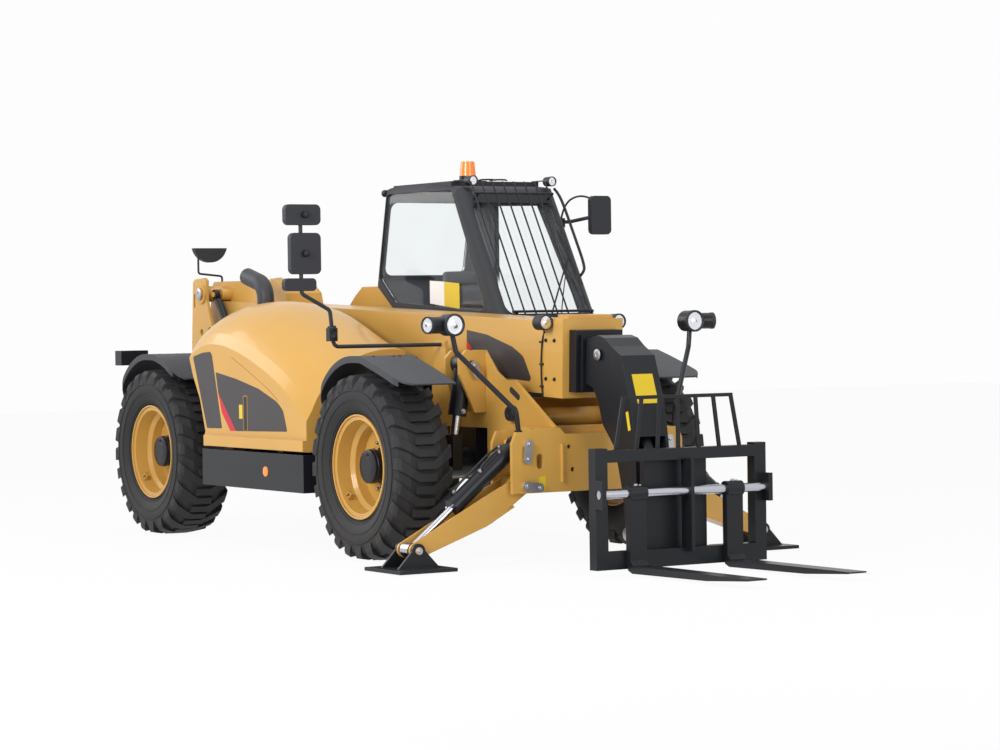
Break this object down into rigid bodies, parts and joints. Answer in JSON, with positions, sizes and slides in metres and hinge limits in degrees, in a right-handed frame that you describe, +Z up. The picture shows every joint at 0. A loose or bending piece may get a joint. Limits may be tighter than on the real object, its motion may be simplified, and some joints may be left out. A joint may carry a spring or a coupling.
{
  "type": "telehandler",
  "caption": "Compact telehandler with a telescopic boom, pallet forks, side engine hood, left cab and front stabilisers.",
  "frame": {"origin": "middle of the footprint, on the ground under the tyres", "axes": "+X forward along the forks, +Y to the driver's left, +Z up"},
  "size_m": [7.2119, 2.99, 2.63],
  "materials": {
    "yellow_paint": "satin yellow paint",
    "black_paint": "satin black paint",
    "chrome_rod": "polished",
    "tyre_rubber": "matt",
    "black_plastic": "matt",
    "glass": "clear",
    "seat_fabric": "woven",
    "engine_iron": "painted casting",
    "exhaust_steel": "matt heat-proof paint"
  },
  "bodies": {
    "chassis": {"chassis_frame": "yellow_paint", "frame_members": "yellow_paint", "stabiliser_box": "yellow_paint", "engine_block": "engine_iron", "side_boxes": "black_paint", "rear_cover": "yellow_paint", "exhaust": "exhaust_steel", "work_lamps": "black_paint", "side_mirrors": "black_plastic", "cab_frame": "black_paint", "cab_glass": "glass", "cab_seat": "seat_fabric", "cab_console": "black_plastic", "window_guard": "black_paint", "front_axle": "black_paint", "rear_axle": "black_paint"},
    "hood": {"engine_hood": "yellow_paint"},
    "door": {"cab_door": "black_paint", "door_glass": "glass"},
    "boom": {"outer_boom": "yellow_paint", "boom_lamps": "black_plastic", "rear_mirror": "black_plastic"},
    "boom_middle": {"middle_boom": "yellow_paint"},
    "boom_inner": {"inner_boom": "yellow_paint", "boom_head": "black_paint", "tilt_barrel": "black_paint"},
    "tilt_rod_body": {"tilt_rod": "chrome_rod"},
    "carriage": {"fork_carriage": "black_paint", "fork_frame": "black_paint", "fork_shaft": "chrome_rod", "forks": "black_paint"},
    "lift_barrel_body": {"lift_barrel": "black_paint"},
    "lift_rod_body": {"lift_rod": "chrome_rod"},
    "level_barrel_body": {"level_barrel": "black_paint"},
    "level_rod_body": {"level_rod": "chrome_rod"},
    "knuckle_front_right_body": {"knuckle_front_right": "black_paint", "fender_front_right": "black_plastic"},
    "wheel_front_right": {"rim_front_right": "yellow_paint", "tyre_front_right": "tyre_rubber"},
    "knuckle_front_left_body": {"knuckle_front_left": "black_paint", "fender_front_left": "black_plastic"},
    "wheel_front_left": {"rim_front_left": "yellow_paint", "tyre_front_left": "tyre_rubber"},
    "knuckle_rear_right_body": {"knuckle_rear_right": "black_paint", "fender_rear_right": "black_plastic"},
    "wheel_rear_right": {"rim_rear_right": "yellow_paint", "tyre_rear_right": "tyre_rubber"},
    "knuckle_rear_left_body": {"knuckle_rear_left": "black_paint", "fender_rear_left": "black_plastic"},
    "wheel_rear_left": {"rim_rear_left": "yellow_paint", "tyre_rear_left": "tyre_rubber"},
    "leg_right": {"stabiliser_leg_right": "yellow_paint"},
    "ram_barrel_right": {"stabiliser_barrel_right": "black_paint"},
    "ram_rod_right": {"stabiliser_rod_right": "chrome_rod"},
    "pad_right": {"stabiliser_pad_right": "black_paint"},
    "leg_left": {"stabiliser_leg_left": "yellow_paint"},
    "ram_barrel_left": {"stabiliser_barrel_left": "black_paint"},
    "ram_rod_left": {"stabiliser_rod_left": "chrome_rod"},
    "pad_left": {"stabiliser_pad_left": "black_paint"}
  },
  "joints": [
    {"name": "boom_lift", "type": "hinge", "parent": "chassis", "child": "boom", "pos_m": [-3.41, 0, 1.743], "axis": [0, -1, 0], "range_deg": [0, 65]},
    {"name": "lift_barrel_swing", "type": "hinge", "parent": "chassis", "child": "lift_barrel_body", "pos_m": [-3.14, 0, 0.912], "axis": [0, -1, 0], "range_deg": [-1, 57.55]},
    {"name": "lift_rod_slide", "type": "slide", "parent": "lift_barrel_body", "child": "lift_rod_body", "axis": [0.9931, 0, 0.1174], "range_m": [-0.005, 0.90527]},
    {"name": "level_barrel_swing", "type": "hinge", "parent": "boom", "child": "level_barrel_body", "pos_m": [-3.3, -0.27, 1.737], "axis": [0, -1, 0], "range_deg": [-66.93, 1]},
    {"name": "level_rod_slide", "type": "slide", "parent": "level_barrel_body", "child": "level_rod_body", "axis": [0.6183, 0, -0.7859], "range_m": [-0.005, 0.12213]},
    {"name": "boom_extend", "type": "slide", "parent": "boom", "child": "boom_middle", "axis": [0.9993, 0, -0.0384], "range_m": [0, 3.6]},
    {"name": "inner_boom_extend", "type": "slide", "parent": "boom_middle", "child": "boom_inner", "axis": [0.9993, 0, -0.0384], "range_m": [0, 3.6]},
    {"name": "carriage_tilt", "type": "hinge", "parent": "boom_inner", "child": "carriage", "pos_m": [2.03, 0, 0.21], "axis": [0, -1, 0], "range_deg": [-95, 15]},
    {"name": "tilt_rod_slide", "type": "slide", "parent": "boom_inner", "child": "tilt_rod_body", "axis": [0.4886, 0, -0.8725], "range_m": [-0.08532, 0.51904]},
    {"name": "steer_front_right", "type": "hinge", "parent": "chassis", "child": "knuckle_front_right_body", "pos_m": [0.43, -0.85, 0.6], "axis": [0, 0, 1], "range_deg": [-30, 30]},
    {"name": "spin_front_right", "type": "hinge", "parent": "knuckle_front_right_body", "child": "wheel_front_right", "pos_m": [0.43, -0.97, 0.6], "axis": [0, 1, 0], "continuous": true},
    {"name": "steer_front_left", "type": "hinge", "parent": "chassis", "child": "knuckle_front_left_body", "pos_m": [0.43, 0.85, 0.6], "axis": [0, 0, 1], "range_deg": [-30, 30]},
    {"name": "spin_front_left", "type": "hinge", "parent": "knuckle_front_left_body", "child": "wheel_front_left", "pos_m": [0.43, 0.97, 0.6], "axis": [0, 1, 0], "continuous": true},
    {"name": "steer_rear_right", "type": "hinge", "parent": "chassis", "child": "knuckle_rear_right_body", "pos_m": [-2.64, -0.85, 0.6], "axis": [0, 0, 1], "range_deg": [-30, 30]},
    {"name": "spin_rear_right", "type": "hinge", "parent": "knuckle_rear_right_body", "child": "wheel_rear_right", "pos_m": [-2.64, -0.97, 0.6], "axis": [0, 1, 0], "continuous": true},
    {"name": "steer_rear_left", "type": "hinge", "parent": "chassis", "child": "knuckle_rear_left_body", "pos_m": [-2.64, 0.85, 0.6], "axis": [0, 0, 1], "range_deg": [-30, 30]},
    {"name": "spin_rear_left", "type": "hinge", "parent": "knuckle_rear_left_body", "child": "wheel_rear_left", "pos_m": [-2.64, 0.97, 0.6], "axis": [0, 1, 0], "continuous": true},
    {"name": "hood_lift", "type": "hinge", "parent": "chassis", "child": "hood", "pos_m": [-1.27, -0.374, 1.562], "axis": [-1, 0, 0], "range_deg": [0, 55]},
    {"name": "door_swing", "type": "hinge", "parent": "chassis", "child": "door", "pos_m": [-1.42, 1.064, 1.575], "axis": [0, 0, 1], "range_deg": [0, 90]},
    {"name": "leg_fold_right", "type": "hinge", "parent": "chassis", "child": "leg_right", "pos_m": [1.355, -0.548, 0.496], "axis": [-1, 0, 0], "range_deg": [0, 75]},
    {"name": "ram_swing_right", "type": "hinge", "parent": "chassis", "child": "ram_barrel_right", "pos_m": [1.355, -0.53, 0.754], "axis": [-1, 0, 0], "range_deg": [-1, 73.54]},
    {"name": "ram_slide_right", "type": "slide", "parent": "ram_barrel_right", "child": "ram_rod_right", "axis": [0, -0.7794, -0.6265], "range_m": [-0.31592, 0.003]},
    {"name": "pad_swing_right", "type": "hinge", "parent": "leg_right", "child": "pad_right", "pos_m": [1.355, -1.3, 0.135], "axis": [-1, 0, 0], "range_deg": [-28, 10]},
    {"name": "leg_fold_left", "type": "hinge", "parent": "chassis", "child": "leg_left", "pos_m": [1.355, 0.548, 0.496], "axis": [1, 0, 0], "range_deg": [0, 75]},
    {"name": "ram_swing_left", "type": "hinge", "parent": "chassis", "child": "ram_barrel_left", "pos_m": [1.355, 0.53, 0.754], "axis": [1, 0, 0], "range_deg": [-1, 73.54]},
    {"name": "ram_slide_left", "type": "slide", "parent": "ram_barrel_left", "child": "ram_rod_left", "axis": [0, 0.7794, -0.6265], "range_m": [-0.31592, 0.003]},
    {"name": "pad_swing_left", "type": "hinge", "parent": "leg_left", "child": "pad_left", "pos_m": [1.355, 1.3, 0.135], "axis": [1, 0, 0], "range_deg": [-28, 10]}
  ],
  "couplings": [
    {"joint": "lift_barrel_swing", "follows": "boom_lift", "ratio": 0.87004},
    {"joint": "lift_rod_slide", "follows": "boom_lift", "m_per_rad": 0.79357},
    {"joint": "level_barrel_swing", "follows": "boom_lift", "ratio": -1.0143},
    {"joint": "level_rod_slide", "follows": "boom_lift", "m_per_rad": 0.10325},
    {"joint": "inner_boom_extend", "follows": "boom_extend", "ratio": 1},
    {"joint": "tilt_rod_slide", "follows": "carriage_tilt", "m_per_rad": -0.31063},
    {"joint": "steer_front_left", "follows": "steer_front_right", "ratio": 1},
    {"joint": "steer_rear_left", "follows": "steer_rear_right", "ratio": 1},
    {"joint": "ram_swing_right", "follows": "leg_fold_right", "ratio": 0.96716},
    {"joint": "ram_slide_right", "follows": "leg_fold_right", "m_per_rad": -0.23905},
    {"joint": "ram_swing_left", "follows": "leg_fold_left", "ratio": 0.96716},
    {"joint": "ram_slide_left", "follows": "leg_fold_left", "m_per_rad": -0.23905}
  ]
}
